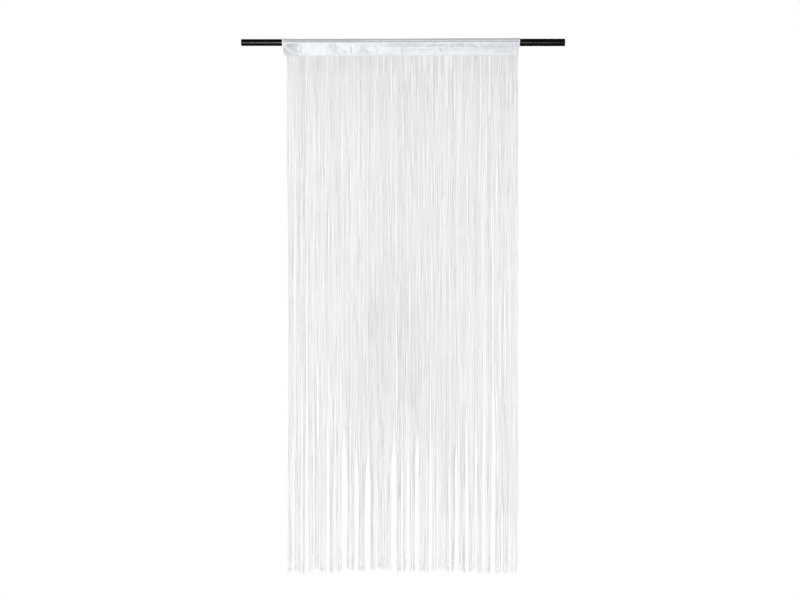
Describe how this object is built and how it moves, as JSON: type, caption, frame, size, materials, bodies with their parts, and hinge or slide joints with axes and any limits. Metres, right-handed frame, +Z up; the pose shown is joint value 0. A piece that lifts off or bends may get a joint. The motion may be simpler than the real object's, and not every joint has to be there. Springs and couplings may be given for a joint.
{
  "type": "string curtain with its telescopic rod",
  "caption": "White string curtain: a sewn satin pocket along the top holds a black telescopic rod, and fine loose strings hang from its seam.",
  "frame": {"origin": "on the rod's axis at mid-length, where the rod's supports hold the curtain up", "axes": "+X along the rod to the right seen from the front, +Y to the back, +Z up; the front faces -Y"},
  "size_m": [1.213, 0.0332, 2.0039],
  "materials": {
    "rod_paint": "satin black paint",
    "satin": "white polyester satin, soft sheen",
    "yarn": "white twisted polyester yarn, slight sheen"
  },
  "bodies": {
    "root": {"rod_thin_tube": "rod_paint", "rod_thick_tube": "rod_paint", "header": "satin", "strings": "yarn"}
  },
  "joints": []
}
